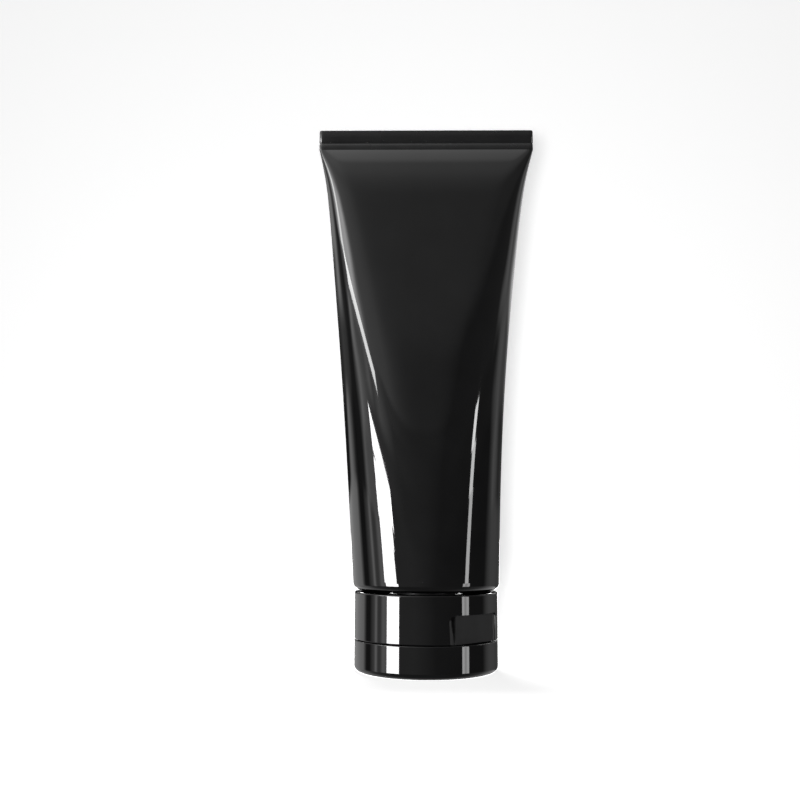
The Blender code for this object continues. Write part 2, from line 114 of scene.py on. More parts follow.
# Cap
CAP_WALL = 1.5 * MM
LEDGE_Z = PARTING_Z + PARTING_GAP
RIM_Z = LID_HIGH.z
BOSS_RADIUS = 21.8 * MM
BOSS_FACE_Z = LEDGE_Z - 1.2 * MM
DECK_TOP_Z = SEAL_LOW.z - 0.3 * MM
NOZZLE_RADIUS = 7.7 * MM
NOZZLE_MOUTH_RADIUS = 5.0 * MM
NOZZLE_DISH_RADIUS = 4.2 * MM
NOZZLE_BORE_RADIUS = 3.5 * MM
PLUG_RADIUS = 3.05 * MM
PLUG_TOP_Z = NOZZLE_TIP_Z + 1.4 * MM
PLUG_FOOT_RADIUS = 4.1 * MM
COLLAR_INNER_RADIUS = 11.2 * MM
COLLAR_WALL = 1.4 * MM
COLLAR_TOP_Z = CAP_TOP_Z - 0.6 * MM
LID_FLOOR = 1.6 * MM
LID_CORNER = 2.0 * MM
CAP_SEGMENTS = 180
SOFT_EDGE = 0.18 * MM
THUMB_AZIMUTH = HINGE_AZIMUTH - pi
THUMB_FLAT_DISTANCE = 22.1 * MM
THUMB_HEIGHT = 9.2 * MM
THUMB_CORNER = 2.4 * MM
THUMB_EASE = 1.3 * MM
THUMB_BACKING = 1.6 * MM
THUMB_HALF_WIDTH = CAP_RADIUS * sin(acos(THUMB_FLAT_DISTANCE / CAP_RADIUS))

# Strap hinge
STRAP_THICKNESS = 0.8 * MM
STRAP_BACKING = 1.2 * MM
CENTRE_PANEL_WIDTH = 5.3 * MM
SIDE_PANEL_WIDTH = 4.6 * MM
PANEL_GAP = 0.5 * MM
STRAP_GAP = 0.3 * MM
STRAP_NEAR = HINGE_DISTANCE - STRAP_THICKNESS / 2 - STRAP_GAP
STRAP_HALF_WIDTH = CENTRE_PANEL_WIDTH / 2 + PANEL_GAP + SIDE_PANEL_WIDTH + STRAP_GAP
FILM_THICKNESS = 0.25 * MM

# Thread
THREAD_PITCH = 3.0 * MM
THREAD_TURNS = 1.25
THREAD_DEPTH = 0.9 * MM
THREAD_ROOT = 1.4 * MM
THREAD_TIP = 0.5 * MM
THREAD_FADE = 0.06
THREAD_SINK = 0.3 * MM
THREAD_STEPS = 180
NECK_THREAD_Z = 17.0 * MM
COLLAR_THREAD_Z = NECK_THREAD_Z + THREAD_PITCH / 2
NECK_RADIUS = 10.0 * MM
NECK_BORE_RADIUS = 8.0 * MM
SHOULDER_PLATE = 1.6 * MM
SHOULDER_WALL = 1.4 * MM


# ---------------------------------------------------------------- materials

# The colour sockets of a Mix node: inputs A and B, and the result
MIX_A, MIX_B, MIX_RESULT = 6, 7, 2
# Between these lies most of what a noise texture gives
NOISE_LOW, NOISE_HIGH = 0.3, 0.7
COLOUR_NOISE_SCALE = 90
GLOSS_NOISE_SCALE = 140


def node(tree, kind, **settings):
    """A new node, each setting put on its input of that name or else on the node itself."""
    made = tree.nodes.new(kind)
    for key, value in settings.items():
        if key in made.inputs:
            made.inputs[key].default_value = value
        else:
            setattr(made, key, value)
    return made


def noise(tree, scale, detail=2.0, stretch=None):
    """Noise in the object's own coordinates, as a node's factor output."""
    coords = node(tree, "ShaderNodeTexCoord")
    vector = coords.outputs["Object"]
    if stretch:
        mapping = node(tree, "ShaderNodeMapping")
        mapping.inputs["Scale"].default_value = stretch
        tree.links.new(vector, mapping.inputs["Vector"])
        vector = mapping.outputs["Vector"]
    texture = node(tree, "ShaderNodeTexNoise", Scale=scale, Detail=detail)
    tree.links.new(vector, texture.inputs["Vector"])
    return texture.outputs["Fac"]


def spread(tree, factor, low, high):
    """A noise factor mapped to a range."""
    ramp = node(tree, "ShaderNodeMapRange")
    ramp.inputs["From Min"].default_value = NOISE_LOW
    ramp.inputs["From Max"].default_value = NOISE_HIGH
    ramp.inputs["To Min"].default_value = low
    ramp.inputs["To Max"].default_value = high
    tree.links.new(factor, ramp.inputs["Value"])
    return ramp.outputs["Result"]


def plastic(name, dark, light, rough_low, rough_high, bumps, metallic=0.0):
    """Moulded plastic or film: a slightly uneven colour and gloss, and fine bumps.

    bumps holds (scale of the noise, height in metres, stretch) for each layer.
    """
    material = bpy.data.materials.new(name)
    material.use_nodes = True
    tree = material.node_tree
    shader = tree.nodes["Principled BSDF"]
    shader.inputs["Metallic"].default_value = metallic
    mix = node(tree, "ShaderNodeMix", data_type="RGBA")
    mix.inputs[MIX_A].default_value = (*dark, 1)
    mix.inputs[MIX_B].default_value = (*light, 1)
    tree.links.new(spread(tree, noise(tree, COLOUR_NOISE_SCALE, 3), 0.0, 1.0), mix.inputs[0])
    tree.links.new(mix.outputs[MIX_RESULT], shader.inputs["Base Color"])
    gloss = spread(tree, noise(tree, GLOSS_NOISE_SCALE, 4), rough_low, rough_high)
    tree.links.new(gloss, shader.inputs["Roughness"])
    normal = None
    for scale, height, stretch in bumps:
        bump = node(tree, "ShaderNodeBump", Strength=1.0, Distance=height)
        tree.links.new(noise(tree, scale, stretch=stretch), bump.inputs["Height"])
        if normal:
            tree.links.new(normal, bump.inputs["Normal"])
        normal = bump.outputs["Normal"]
    if normal:
        tree.links.new(normal, shader.inputs["Normal"])
    return material


def make_materials():
    """The plastics and the foil, darkest and lightest colour first, then the range of roughness."""
    black_low, black_high = (0.0028, 0.0028, 0.0030), (0.0052, 0.0052, 0.0055)
    return {
        "film": plastic("sleeve_film", black_low, black_high, 0.02, 0.045,
                        [(70, 0.000025, (1, 1, 0.35)), (900, 0.0000008, None)]),
        "crimp": plastic("crimped_film", (0.009, 0.009, 0.0093), (0.015, 0.015, 0.0155), 0.2, 0.3,
                         [(500, 0.00002, (0.5, 1, 2.5)), (120, 0.00004, None)]),
        "cap": plastic("cap_gloss", black_low, black_high, 0.02, 0.035,
                       [(60, 0.000003, None), (1200, 0.0000004, None)]),
        "satin": plastic("cap_satin", (0.016, 0.016, 0.0165), (0.021, 0.021, 0.0215), 0.3, 0.38,
                         [(1800, 0.000006, None)]),
        "strap": plastic("strap_flexed", (0.010, 0.010, 0.0105), (0.017, 0.017, 0.0175), 0.14, 0.24,
                         [(1500, 0.000004, None)]),
        "neck": plastic("neck_satin", (0.014, 0.014, 0.0145), (0.02, 0.02, 0.0205), 0.3, 0.4,
                        [(1400, 0.000006, None)]),
        "cream": plastic("cream_white", (0.82, 0.83, 0.82), (0.9, 0.905, 0.9), 0.38, 0.5,
                         [(160, 0.0002, None), (900, 0.00003, None)]),
        "foil": plastic("foil_liner", (0.74, 0.75, 0.76), (0.84, 0.85, 0.86), 0.18, 0.3,
                        [(500, 0.00004, None)], metallic=1.0),
    }


# ---------------------------------------------------------------- mesh tools

def mesh_object(name, points, faces, materials=()):
    """A smooth-shaded object in the scene, from points and faces."""
    mesh = bpy.data.meshes.new(name)
    mesh.from_pydata(points, [], faces)
    for material in materials:
        mesh.materials.append(material)
    mesh.shade_smooth()
    mesh.update()
    obj = bpy.data.objects.new(name, mesh)
    bpy.context.scene.collection.objects.link(obj)
    return obj


def filleted(corners, steps=5):
    """A polyline's points, with each corner (x, z, radius) rounded by an arc."""
    points = []
    last = len(corners) - 1
    for i, (x, z, radius) in enumerate(corners):
        if radius == 0 or i in (0, last):
            points.append((x, z))
            continue
        here = Vector((x, z))
        before = (Vector(corners[i - 1][:2]) - here)
        after = (Vector(corners[i + 1][:2]) - here)
        half = before.angle(after) / 2
        reach = radius / np.tan(half)
        reach = min(reach, before.length * 0.49, after.length * 0.49)
        size = reach * np.tan(half)
        centre = here + (before.normalized() + after.normalized()).normalized() * (size / sin(half))
        start = here + before.normalized() * reach - centre
        end = here + after.normalized() * reach - centre
        sweep = start.angle_signed(end)
        for k in range(steps + 1):
            turned_by = start.copy()
            turned_by.rotate(Matrix.Rotation(-sweep * k / steps, 2))
            points.append(tuple(centre + turned_by))
    return points


def loft(name, points, count, materials=(), quads=False):
    """A closed mesh through rings of count points each, its ends closed by quads or by one face."""
    rings = len(points) // count
    faces = []
    for i in range(rings - 1):
        for k in range(count):
            m = (k + 1) % count
            faces.append((i * count + k, i * count + m, (i + 1) * count + m, (i + 1) * count + k))
    for start in (0, (rings - 1) * count):
        last = start + count - 1
        if quads:
            faces += [(start + k, start + k + 1, last - k - 1, last - k) for k in range(count // 2 - 1)]
        else:
            faces.append(tuple(range(start, last + 1)))
    obj = mesh_object(name, points, faces, materials)
    bm = bmesh.new()
    bm.from_mesh(obj.data)
    bmesh.ops.recalc_face_normals(bm, faces=bm.faces)
    bm.to_mesh(obj.data)
    bm.free()
    return obj


def turned(name, outline, closed, segments, materials):
    """A solid of revolution, from an outline that runs down its outer side."""
    count = len(outline)
    points = []
    for i in range(segments):
        angle = 2 * pi * i / segments
        points += [(x * cos(angle), x * sin(angle), z) for x, z in outline]
    faces = []
    spans = count if closed else count - 1
    for i in range(segments):
        j = (i + 1) % segments
        for k in range(spans):
            m = (k + 1) % count
            faces.append((i * count + k, i * count + m, j * count + m, j * count + k))
    obj = mesh_object(name, points, faces, materials)
    bm = bmesh.new()
    bm.from_mesh(obj.data)
    bmesh.ops.remove_doubles(bm, verts=bm.verts, dist=1e-7)
    bmesh.ops.dissolve_degenerate(bm, edges=bm.edges, dist=1e-8)
    bmesh.ops.recalc_face_normals(bm, faces=bm.faces)
    bm.to_mesh(obj.data)
    bm.free()
    return obj


def box_on_azimuth(name, azimuth, near, far, half_width, low, high):
    """A box between two distances from the tube's axis, facing along an azimuth."""
    middle = (near + far) / 2
    place = Matrix.Rotation(azimuth, 4, "Z") @ Matrix.Translation((middle, 0, (low + high) / 2))
    size = Matrix.Diagonal((far - near, 2 * half_width, high - low, 1))
    bm = bmesh.new()
    bmesh.ops.create_cube(bm, size=1.0, matrix=size)
    mesh = bpy.data.meshes.new(name)
    bm.to_mesh(mesh)
    bm.free()
    obj = bpy.data.objects.new(name, mesh)
    bpy.context.scene.collection.objects.link(obj)
    obj.matrix_world = place
    return obj


def combine(obj, tool, operation):
    """Applies a Boolean and removes its tool."""
    bpy.context.view_layer.update()
    boolean = obj.modifiers.new("combine", "BOOLEAN")
    boolean.operation = operation
    boolean.object = tool
    boolean.solver = "EXACT"
    graph = bpy.context.evaluated_depsgraph_get()
    mesh = bpy.data.meshes.new_from_object(obj.evaluated_get(graph))
    obj.modifiers.clear()
    obj.data = mesh
    bpy.data.objects.remove(tool, do_unlink=True)


def helical_ridge(name, root_radius, outward, start_z):
    """A thread ridge swept up a right-handed helix, its ends faded into the wall."""
    half_root, half_tip = THREAD_ROOT / 2, THREAD_TIP / 2
    points = []
    for i in range(THREAD_STEPS + 1):
        share = i / THREAD_STEPS
        angle = 2 * pi * THREAD_TURNS * share
        fade = min(1.0, share / THREAD_FADE, (1 - share) / THREAD_FADE) ** 0.5
        tip = root_radius + outward * (THREAD_DEPTH * fade - 0.05 * MM * (1 - fade))
        z = start_z + THREAD_PITCH * THREAD_TURNS * share
        base = root_radius - THREAD_SINK * outward
        section = [(base, -half_root), (root_radius, -half_root), (tip, -half_tip)]
        section += [(tip, half_tip), (root_radius, half_root), (base, half_root)]
        points += [(x * cos(angle), x * sin(angle), z + dz) for x, dz in section]
    return loft(name, points, len(section))


def skirt_backing(name, azimuth, near, half_width, low, high):
    """A block that thickens the skirt's inside behind a recess."""
    radius = CAP_RADIUS - CAP_WALL / 2
    block = turned(name, [(0, high), (radius, high), (radius, low), (0, low)], False, CAP_SEGMENTS, ())
    limits = box_on_azimuth(name + "_limits", azimuth, near, 2 * radius, half_width, low - MM, high + MM)
    combine(block, limits, "INTERSECT")
    return block


def paint(obj, index, test):
    """Gives material slot index to the faces whose middle and normal pass a test."""
    for face in obj.data.polygons:
        if test(face.center, face.normal):
            face.material_index = index


def crisp(obj):
    """Rounds the sharp edges slightly, keeps the flats flat and the turned walls round.

    A Boolean leaves long thin faces, so each corner's normal is set by what its
    face belongs to: a flat, a straight turned wall, a turned corner, or neither.
    """
    obj.data.shade_smooth()
    bevel = obj.modifiers.new("soft_edges", "BEVEL")
    bevel.width = SOFT_EDGE
    bevel.segments = 2
    bevel.limit_method = "ANGLE"
    bevel.angle_limit = radians(20)
    bevel.harden_normals = True
    bevel.miter_outer = "MITER_ARC"
    graph = bpy.context.evaluated_depsgraph_get()
    mesh = bpy.data.meshes.new_from_object(obj.evaluated_get(graph))
    obj.modifiers.clear()
    obj.data = mesh
    normals = [corner.vector.copy() for corner in mesh.corner_normals]
    for face in mesh.polygons:
        corners = [(loop, mesh.vertices[mesh.loops[loop].vertex_index].co) for loop in face.loop_indices]
        tangents = [(loop, Vector((-place.y, place.x, 0)).normalized()) for loop, place in corners]
        turned_face = max(abs(face.normal.dot(tangent)) for loop, tangent in tangents) < 0.04
        flat = abs(face.normal.z) > 0.999 or (not turned_face and face.area > 6 * MM * MM)
        for loop, tangent in tangents:
            normal = normals[loop]
            if flat:
                normal = face.normal
            elif turned_face:
                if abs(face.normal.z) < 0.02:
                    normal = face.normal
                normal = (normal - tangent * normal.dot(tangent)).normalized()
            normals[loop] = normal
    mesh.normals_split_custom_set([tuple(normal) for normal in normals])


def radius_of(point):
    """A point's distance from the tube's axis."""
    return Vector((point.x, point.y)).length


# ---------------------------------------------------------------- sleeve

def flattening(share):
    """The thickness over the diameter, as a smooth curve through the points of FLATTENING."""
    xs, ys = np.array(FLATTENING).T
    slopes = np.gradient(ys, xs)
    i = int(np.clip(np.searchsorted(xs, share) - 1, 0, len(xs) - 2))
    width = xs[i + 1] - xs[i]
    t = (share - xs[i]) / width
    ease = t * t * (3 - 2 * t)
    lean = slopes[i] * t * (1 - t) ** 2 - slopes[i + 1] * t * t * (1 - t)
    return ys[i] + (ys[i + 1] - ys[i]) * ease + width * lean


def thickness_at(z):
    """The sleeve's thickness at a height, from its pressed tail to its round shoulder."""
    share = np.clip((CRIMP_BASE_Z - z) / (CRIMP_BASE_Z - SHOULDER_Z), 0.0, 1.0)
    return 2 * TUBE_RADIUS * flattening(share)


def bow_at(z):
    """The filled sleeve leans a little to one side between its two ends."""
    share = np.clip((z - SHOULDER_Z) / (CRIMP_BASE_Z - SHOULDER_Z), 0.0, 1.0)
    return BOW * sin(pi * share)


def section(thickness, segments):
    """A flattened tube's outline and outward normals, at equal steps of girth.

    The bend is spread smoothly from the round edges into the flats, so that
    reflections run across without a break, and the girth stays the round tube's.
    """
    radius = thickness / 2
    girth = 2 * pi * TUBE_RADIUS
    finer = 8
    fine = finer * segments
    step = girth / fine
    half = (np.arange(fine) + 0.5) * step % (girth / 2)
    from_edge = np.minimum(half, girth / 2 - half)
    bend = np.clip((pi * radius / 2 - from_edge) / step + 0.5, 0.0, 1.0) / radius
    softness = EDGE_SOFTNESS * np.tanh(0.45 * thickness / EDGE_SOFTNESS)
    offset = (np.arange(fine) - fine // 2) * step
    kernel = np.exp(-0.5 * (offset / softness) ** 2)
    kernel /= kernel.sum()
    bend = np.real(np.fft.ifft(np.fft.fft(bend) * np.fft.fft(np.fft.ifftshift(kernel))))
    bend *= 2 * pi / (bend.sum() * step)
    turn = np.cumsum(bend) * step
    turn = turn - bend * step / 2
    x = np.cumsum(-np.sin(turn)) * step
    y = np.cumsum(np.cos(turn)) * step
    x -= (x.max() + x.min()) / 2
    y -= (y.max() + y.min()) / 2
    pick = np.arange(segments) * finer
    return x[pick], y[pick], np.cos(turn[pick]), np.sin(turn[pick])


def ring(thickness, inset, z, segments):
    """A ring of the flattened tube, set in from its outside by inset."""
    x, y, nx, ny = section(thickness, segments)
    return np.stack([x - nx * inset + bow_at(z), y - ny * inset, np.full(segments, z)], 1)


def round_ring(radius, z, segments):
    angle = 2 * pi * np.arange(segments) / segments
    return np.stack([radius * np.cos(angle), radius * np.sin(angle), np.full(segments, z)], 1)


def corner_rings(inset, segments):
    """Rings of the turned-in end, from the lip round the corner to the shoulder's height."""
    rings = [round_ring(SLEEVE_LIP_RADIUS, SLEEVE_BASE_Z + inset, segments)]
    radius = SHOULDER_CORNER - inset
    for i in range(CORNER_RINGS):
        angle = radians(-90 + 90 * i / CORNER_RINGS)
        x = TUBE_RADIUS - SHOULDER_CORNER + radius * cos(angle)
        rings.append(round_ring(x, SHOULDER_Z + radius * sin(angle), segments))
    return rings


def waves(table, angle, share):
    """The sum of a table's waves at angles round the tube and a share of its height."""
    return sum(height * np.sin(number * angle + drift * share + phase)
               for height, number, drift, phase in table)


def ripple(points, share):
    """Slight waves that run along the film, strongest on the pressed flanks.

    They fade out at the shoulder and well below the crimp.
    """
    angle = np.arctan2(points[:, 1], points[:, 0])
    fade = sin(pi * min(1.0, share * 1.15)) ** 0.7 if share < 0.87 else 0.0
    side = np.cos(angle) ** 2
    lift = (waves(RIPPLES, angle, share) * side + waves(FOLDS, angle, share) * side ** 4) * fade * MM
    outward = points[:, :2] / np.linalg.norm(points[:, :2], axis=1, keepdims=True)
    points[:, :2] += outward * lift[:, None]
    return points


def make_sleeve(materials):
    """The film, ringed down its inside to the turned-in lip, then up its outside to the tail."""
    segments = SLEEVE_SEGMENTS
    shares = np.linspace(0, 1, SLEEVE_RINGS)
    heights = SHOULDER_Z + (CRIMP_BASE_Z - SHOULDER_Z) * shares
    outer = corner_rings(0.0, segments)
    for z, share in zip(heights, shares):
        thickness = max(thickness_at(z), CRIMP_THICKNESS)
        outer.append(ripple(ring(thickness, 0.0, z, segments), share))
    for lift, proud in CRIMP_PROFILE:
        outer.append(ring(CRIMP_THICKNESS, -proud * MM, CRIMP_BASE_Z + lift * MM + HAIR, segments))
    inner = corner_rings(SLEEVE_WALL, segments)
    for z in heights[:-4:3]:
        inner.append(ring(thickness_at(z), SLEEVE_WALL, z, segments))
    points = np.concatenate(inner[::-1] + outer).tolist()
    obj = loft("sleeve", points, segments, [materials["film"], materials["crimp"]], quads=True)
    paint(obj, 1, lambda centre, normal: centre.z > CRIMP_BASE_Z)
    obj.data.set_sharp_from_angle(angle=radians(50))
    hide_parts("tube_sleeve")
    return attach(obj, "tube")


def make_cream(materials):
    """The cream inside, a little clear of the film and the neck."""
    segments = CREAM_SEGMENTS
    stem = NECK_BORE_RADIUS - CREAM_CLEARANCE
    plate_top = SLEEVE_BASE_Z + SHOULDER_PLATE + 0.3 * MM
    rim = TUBE_RADIUS - SLEEVE_WALL - SHOULDER_WALL - 0.3 * MM - CREAM_CLEARANCE
    outline = [(stem, CREAM_LOW.z), (stem, plate_top), (rim, plate_top + 0.3 * MM),
               (rim, NECK_HIGH.z + 0.3 * MM), (TUBE_RADIUS - 2 * MM, NECK_HIGH.z + 0.6 * MM)]
    rings = [round_ring(x, z, segments) for x, z in outline]
    for z in np.linspace(NECK_HIGH.z + 2.3 * MM, CREAM_HIGH.z, CREAM_RINGS):
        rings.append(ring(thickness_at(z), SLEEVE_WALL + 2.5 * CREAM_CLEARANCE, z, segments))
    points = np.concatenate(rings).tolist()
    obj = loft("cream", points, segments, [materials["cream"]], quads=True)
    obj.data.set_sharp_from_angle(angle=radians(50))
    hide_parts("cream_fill")
    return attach(obj, "tube")


# ---------------------------------------------------------------- shoulder and seal

def make_shoulder(materials):
    """The shoulder's cup inside the sleeve, and the threaded neck below it."""
    corner = SHOULDER_CORNER - SLEEVE_WALL - 0.3 * MM
    rim_radius = NECK_HIGH.x
    rim_inner = rim_radius - SHOULDER_WALL
    plate_top = SLEEVE_BASE_Z + SHOULDER_PLATE
    step_radius = SLEEVE_LIP_RADIUS - 0.3 * MM
    corners = [
        (rim_radius, NECK_HIGH.z, 0), (rim_radius, SHOULDER_Z - corner, corner),
        (step_radius, SHOULDER_Z - corner, 0), (step_radius, SLEEVE_BASE_Z, 0.25 * MM),
        (NECK_RADIUS, SLEEVE_BASE_Z, 0.9 * MM), (NECK_RADIUS, NECK_LOW.z, 0.4 * MM),
        (NECK_BORE_RADIUS, NECK_LOW.z, 0.3 * MM), (NECK_BORE_RADIUS, plate_top, 0.6 * MM),
        (rim_inner, plate_top, 0.6 * MM), (rim_inner, NECK_HIGH.z, 0),
    ]
    obj = turned("shoulder", filleted(corners), True, 144, [materials["neck"]])
    combine(obj, helical_ridge("neck_ridge", NECK_RADIUS, 1, NECK_THREAD_Z), "UNION")
    obj.data.shade_smooth()
    obj.data.set_sharp_from_angle(angle=radians(42))
    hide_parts("tube_shoulder")
    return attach(obj, "tube")


def make_seal(materials):
    """The foil ring between the neck's end and the deck."""
    outer, inner = SEAL_HIGH.x, NOZZLE_BORE_RADIUS
    edge = 0.1 * MM
    corners = [(outer - 0.5 * MM, SEAL_HIGH.z, 0), (outer, SEAL_HIGH.z, edge), (outer, SEAL_LOW.z, edge),
               (inner, SEAL_LOW.z, edge), (inner, SEAL_HIGH.z, edge)]
    obj = turned("foil", filleted(corners, 2), True, 96, [materials["foil"]])
    obj.data.set_sharp_from_angle(angle=radians(42))
    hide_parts("neck_seal")
    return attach(obj, "neck_seal")


# ---------------------------------------------------------------- cap

def thumb_cutter():
    """The recess's cutter: a flat, eased onto the skirt at both sides, with round upper corners."""
    beyond = 3 * MM
    end_turn = acos(THUMB_FLAT_DISTANCE / CAP_RADIUS) + THUMB_EASE / CAP_RADIUS
    start = Vector((THUMB_FLAT_DISTANCE, THUMB_HALF_WIDTH - THUMB_EASE))
    knee = Vector((THUMB_FLAT_DISTANCE, THUMB_HALF_WIDTH))
    end = Vector((cos(end_turn), sin(end_turn))) * CAP_RADIUS
    side = [start * (1 - t) ** 2 + knee * 2 * t * (1 - t) + end * t * t for t in np.linspace(0, 1, 11)]
    side.append(end + (end - knee).normalized() * beyond)
    side.append(Vector((CAP_RADIUS + beyond, side[-1].y)))
    outline = side + [Vector((x, -y)) for x, y in reversed(side)]
    place = Matrix.Rotation(THUMB_AZIMUTH, 4, "Z")
    levels = (LEDGE_Z - 1.5 * MM, LEDGE_Z + THUMB_HEIGHT + MM)
    points = [tuple(place @ Vector((x, y, z))) for z in levels for x, y in outline]
    cutter = loft("thumb_cutter", points, len(outline))
    limits = box_on_azimuth("thumb_limits", THUMB_AZIMUTH, THUMB_FLAT_DISTANCE - beyond,
                            CAP_RADIUS + beyond + MM, THUMB_HALF_WIDTH + 1.1 * MM,
                            LEDGE_Z - 0.8 * MM, LEDGE_Z + THUMB_HEIGHT)
    bm = bmesh.new()
    bm.from_mesh(limits.data)
    upper = [edge for edge in bm.edges
             if min(v.co.z for v in edge.verts) > 0
             and abs(edge.verts[0].co.y - edge.verts[1].co.y) < MM]
    bmesh.ops.bevel(bm, geom=upper, offset=THUMB_CORNER, segments=8, profile=0.5, affect="EDGES")
    bm.to_mesh(limits.data)
    bm.free()
    combine(cutter, limits, "INTERSECT")
    return cutter


def hinge_cutter(low, high):
    """The notch that the strap's panels lie in, between two heights."""
    far = CAP_RADIUS + 3 * MM
    return box_on_azimuth("hinge_cutter", HINGE_AZIMUTH, STRAP_NEAR, far, STRAP_HALF_WIDTH, low, high)


def make_cap_base(materials):
    """The skirt, the boss and nozzle below the deck, the bore, and the threaded collar above."""
    inner = CAP_RADIUS - CAP_WALL
    bore = NOZZLE_BORE_RADIUS
    collar_outer = COLLAR_INNER_RADIUS + COLLAR_WALL
    corners = [
        (inner, CAP_TOP_Z - 3 * MM, 0), (inner, CAP_TOP_Z, 0.4 * MM),
        (CAP_RADIUS, CAP_TOP_Z, 0.45 * MM), (CAP_RADIUS, LEDGE_Z, 0.3 * MM),
        (BOSS_RADIUS, LEDGE_Z, 0.25 * MM), (BOSS_RADIUS, BOSS_FACE_Z, 0.4 * MM),
        (NOZZLE_RADIUS + 0.2 * MM, BOSS_FACE_Z, 0.5 * MM),
        (NOZZLE_RADIUS - 0.3 * MM, NOZZLE_TIP_Z, 1.5 * MM),
        (NOZZLE_MOUTH_RADIUS, NOZZLE_TIP_Z, 0.7 * MM),
        (NOZZLE_DISH_RADIUS, NOZZLE_TIP_Z + 0.8 * MM, 0.5 * MM),
        (bore, NOZZLE_TIP_Z + MM, 0.25 * MM), (bore, DECK_TOP_Z, 0.3 * MM),
        (COLLAR_INNER_RADIUS, DECK_TOP_Z, 0.5 * MM), (COLLAR_INNER_RADIUS, COLLAR_TOP_Z, 0.4 * MM),
        (collar_outer, COLLAR_TOP_Z, 0.4 * MM), (collar_outer, DECK_TOP_Z, 0.5 * MM),
        (inner, DECK_TOP_Z, 0.6 * MM), (inner, DECK_TOP_Z + 3 * MM, 0),
    ]
    cap_materials = [materials["cap"], materials["satin"]]
    obj = turned("cap_base_shell", filleted(corners), True, CAP_SEGMENTS, cap_materials)
    combine(obj, helical_ridge("collar_ridge", COLLAR_INNER_RADIUS, -1, COLLAR_THREAD_Z), "UNION")
    foot = DECK_TOP_Z - 0.5 * MM
    thumb_top = LEDGE_Z + THUMB_HEIGHT
    strap_top = BASE_LINE.z + STRAP_THICKNESS / 2 + STRAP_GAP
    combine(obj, skirt_backing("thumb_backing", THUMB_AZIMUTH, THUMB_FLAT_DISTANCE - THUMB_BACKING,
                               THUMB_HALF_WIDTH + 0.6 * MM, foot, thumb_top + THUMB_BACKING), "UNION")
    combine(obj, skirt_backing("strap_backing", HINGE_AZIMUTH, STRAP_NEAR - STRAP_BACKING,
                               STRAP_HALF_WIDTH + MM, foot, strap_top + STRAP_BACKING), "UNION")
    combine(obj, thumb_cutter(), "DIFFERENCE")
    combine(obj, hinge_cutter(LEDGE_Z - 0.1 * MM, strap_top), "DIFFERENCE")
    paint(obj, 1, lambda centre, normal: NOZZLE_RADIUS + 0.4 * MM < radius_of(centre) < BOSS_RADIUS
          and abs(centre.z - BOSS_FACE_Z) < 0.05 * MM)
    facing = Vector((cos(THUMB_AZIMUTH), sin(THUMB_AZIMUTH), 0))
    paint(obj, 1, lambda centre, normal: abs(centre.dot(facing) - THUMB_FLAT_DISTANCE) < 0.02 * MM
          and normal.dot(facing) > 0.99)
    crisp(obj)
    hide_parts("cap_base")
    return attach(obj, "cap_base")


def make_cap_lid(materials):
    """The lid: the sealing plug on its foot, the floor, the rim and the rounded outside."""
    inner = CAP_RADIUS - CAP_WALL
    foot_z = LID_FLOOR + MM
    corners = [
        (0, PLUG_TOP_Z, 0), (PLUG_RADIUS, PLUG_TOP_Z, 0.9 * MM), (PLUG_RADIUS, foot_z, 0.4 * MM),
        (PLUG_FOOT_RADIUS, foot_z, 0.35 * MM), (PLUG_FOOT_RADIUS, LID_FLOOR, 0.35 * MM),
        (inner, LID_FLOOR, 1.2 * MM), (inner, RIM_Z, 0.3 * MM),
        (CAP_RADIUS, RIM_Z, 0.3 * MM), (CAP_RADIUS, LID_LOW.z, LID_CORNER), (0, LID_LOW.z, 0),
    ]
    lid_materials = [materials["cap"], materials["satin"]]
    obj = turned("lid_shell", filleted(corners, 8), False, CAP_SEGMENTS, lid_materials)
    recess_foot = LID_LINE.z - STRAP_THICKNESS / 2 - STRAP_GAP
    combine(obj, hinge_cutter(recess_foot, RIM_Z + MM), "DIFFERENCE")
    paint(obj, 1, lambda centre, normal: PLUG_FOOT_RADIUS + 0.1 * MM < radius_of(centre) < inner - MM
          and abs(centre.z - LID_FLOOR) < 0.1 * MM)
    crisp(obj)
    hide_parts("cap_lid")
    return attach(obj, "cap_lid")


# ---------------------------------------------------------------- strap hinge

def strap_place(offset):
    """The frame of a hinge panel: x outwards, y along the film lines, z up, at the base line."""
    facing = Matrix.Rotation(HINGE_AZIMUTH, 4, "Z")
    return Matrix.Translation(BASE_LINE) @ facing @ Matrix.Translation((0, offset, 0))


def plate(name, outline, width, place, materials):
    """An outline in x and z, drawn out along y and slightly rounded at its ends."""
    count = len(outline)
    bevel = 0.12 * MM
    rows = [(-width / 2, bevel), (-width / 2 + bevel, 0), (width / 2 - bevel, 0), (width / 2, bevel)]
    centre_x = sum(x for x, z in outline) / count
    centre_z = sum(z for x, z in outline) / count
    points = []
    for y, inset in rows:
        for x, z in outline:
            away = Vector((x - centre_x, z - centre_z))
            shrunk = away * max(0.0, 1 - inset / max(away.length, 1e-9))
            points.append(tuple(place @ Vector((centre_x + shrunk.x, y, centre_z + shrunk.y))))
    obj = loft(name, points, count, materials)
    obj.data.set_sharp_from_angle(angle=radians(35))
    return obj


def half_round(centre_z, start, radius, steps=10):
    """The x and z of a half circle's points, from a start angle in degrees."""
    turns = [radians(start + 180 * i / steps) for i in range(steps + 1)]
    return [(radius * cos(turn), centre_z + radius * sin(turn)) for turn in turns]


def make_strap(side, offset, width, materials):
    """A panel with a ridge along each film line, on the body that it swings with."""
    radius = STRAP_THICKNESS / 2
    outline = half_round(0, 0, radius) + half_round(-STRAP_LENGTH, 180, radius)
    obj = plate("strap_" + side, outline, width, strap_place(offset), [materials["strap"]])
    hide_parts("hinge_strap_" + side)
    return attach(obj, "hinge_strap")


